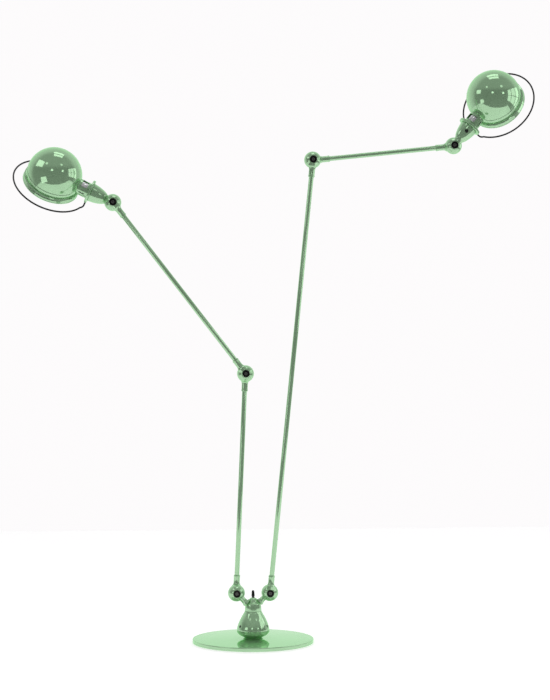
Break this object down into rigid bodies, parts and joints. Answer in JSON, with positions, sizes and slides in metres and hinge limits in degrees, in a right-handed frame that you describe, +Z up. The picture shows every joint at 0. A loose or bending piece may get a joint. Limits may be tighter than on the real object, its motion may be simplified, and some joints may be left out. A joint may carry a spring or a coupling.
{
  "type": "adjustable arm floor lamp",
  "caption": "Free-standing lamp with a round base, a pear-shaped post, jointed tube arms on ball joints and ventilated dome heads with wire handle rings.",
  "frame": {"origin": "centre of the underside of the base pad, on the floor", "axes": "+Z up, +X to the right of someone facing the lamp, +Y to the rear"},
  "size_m": [1.4241, 0.33, 1.5716],
  "materials": {
    "green_lacquer": "high-gloss pale green lacquer over steel",
    "black_lacquer": "gloss black lacquer over steel wire",
    "black_plastic": "moulded black plastic and blackened screws, satin gloss",
    "board": "brown laminated insulating board, matte",
    "steel": "turned steel, lightly brushed",
    "chrome": "bright chrome plate",
    "rubber": "black rubber, matte",
    "opal_glass": "opal white glass"
  },
  "bodies": {
    "base": {"base_plate": "green_lacquer", "foot_pad": "rubber", "pear_bowl": "green_lacquer", "pear_bell": "green_lacquer", "pear_screw_left": "black_plastic", "pear_screw_right": "black_plastic", "centre_stud": "steel", "cable_grommet": "rubber"},
    "yoke": {"yoke_cap": "green_lacquer", "left_base_joint_front_half": "green_lacquer", "left_base_joint_bolt": "steel", "left_base_joint_cup": "black_plastic", "right_base_joint_rear_half": "green_lacquer", "right_base_joint_contact_disc": "board"},
    "switch": {"switch_lever": "black_plastic"},
    "left_lower_arm": {"left_base_joint_rear_half": "green_lacquer", "left_base_joint_contact_disc": "board", "left_lower_tube": "green_lacquer", "left_elbow_rear_half": "green_lacquer", "left_elbow_contact_disc": "board"},
    "left_upper_arm": {"left_elbow_front_half": "green_lacquer", "left_elbow_bolt": "steel", "left_elbow_cup": "black_plastic", "left_upper_tube": "green_lacquer", "left_wrist_front_half": "green_lacquer", "left_wrist_bolt": "steel", "left_wrist_cup": "black_plastic"},
    "left_neck": {"left_wrist_rear_half": "green_lacquer", "left_wrist_contact_disc": "board", "left_neck_housing": "green_lacquer", "left_neck_screw": "black_plastic"},
    "left_head": {"left_flange": "green_lacquer", "left_collar": "green_lacquer", "left_lampholder": "chrome", "left_bulb": "opal_glass", "left_shade": "green_lacquer", "left_handle_ring": "black_lacquer"},
    "right_lower_arm": {"right_base_joint_front_half": "green_lacquer", "right_base_joint_bolt": "steel", "right_base_joint_cup": "black_plastic", "right_lower_tube": "green_lacquer", "right_elbow_front_half": "green_lacquer", "right_elbow_bolt": "steel", "right_elbow_cup": "black_plastic"},
    "right_upper_arm": {"right_elbow_rear_half": "green_lacquer", "right_elbow_contact_disc": "board", "right_upper_tube": "green_lacquer", "right_wrist_rear_half": "green_lacquer", "right_wrist_contact_disc": "board"},
    "right_neck": {"right_wrist_front_half": "green_lacquer", "right_wrist_bolt": "steel", "right_wrist_cup": "black_plastic", "right_neck_housing": "green_lacquer", "right_neck_screw": "black_plastic"},
    "right_head": {"right_flange": "green_lacquer", "right_collar": "green_lacquer", "right_lampholder": "chrome", "right_bulb": "opal_glass", "right_shade": "green_lacquer", "right_handle_ring": "black_lacquer"}
  },
  "joints": [
    {"name": "yoke_swivel", "type": "hinge", "parent": "base", "child": "yoke", "pos_m": [0, 0, 0.0853], "axis": [0, 0, 1], "range_deg": [-170, 170]},
    {"name": "switch_tilt", "type": "hinge", "parent": "yoke", "child": "switch", "pos_m": [0, 0, 0.1154], "axis": [1, 0, 0], "range_deg": [0, 24]},
    {"name": "left_base_tilt", "type": "hinge", "parent": "yoke", "child": "left_lower_arm", "pos_m": [-0.0455, 0, 0.1344], "axis": [0, -1, 0], "range_deg": [-8, 55]},
    {"name": "left_elbow_tilt", "type": "hinge", "parent": "left_lower_arm", "child": "left_upper_arm", "pos_m": [-0.0209, 0, 0.73139], "axis": [0, -1, 0], "range_deg": [-30, 85]},
    {"name": "left_wrist_tilt", "type": "hinge", "parent": "left_upper_arm", "child": "left_neck", "pos_m": [-0.38046, 0, 1.19411], "axis": [0, -1, 0], "range_deg": [-90, 90]},
    {"name": "left_head_swivel", "type": "hinge", "parent": "left_neck", "child": "left_head", "pos_m": [-0.38046, 0.01, 1.19411], "axis": [-0.9003, 0, 0.4352], "range_deg": [-160, 160]},
    {"name": "right_base_tilt", "type": "hinge", "parent": "yoke", "child": "right_lower_arm", "pos_m": [0.0455, 0, 0.1344], "axis": [0, -1, 0], "range_deg": [-50, 8]},
    {"name": "right_elbow_tilt", "type": "hinge", "parent": "right_lower_arm", "child": "right_upper_arm", "pos_m": [0.16298, 0, 1.31557], "axis": [0, -1, 0], "range_deg": [-80, 100]},
    {"name": "right_wrist_tilt", "type": "hinge", "parent": "right_upper_arm", "child": "right_neck", "pos_m": [0.55357, 0, 1.35904], "axis": [0, -1, 0], "range_deg": [-85, 80]},
    {"name": "right_head_swivel", "type": "hinge", "parent": "right_neck", "child": "right_head", "pos_m": [0.55357, -0.01, 1.35904], "axis": [0.6312, 0, 0.7756], "range_deg": [-160, 160]}
  ]
}
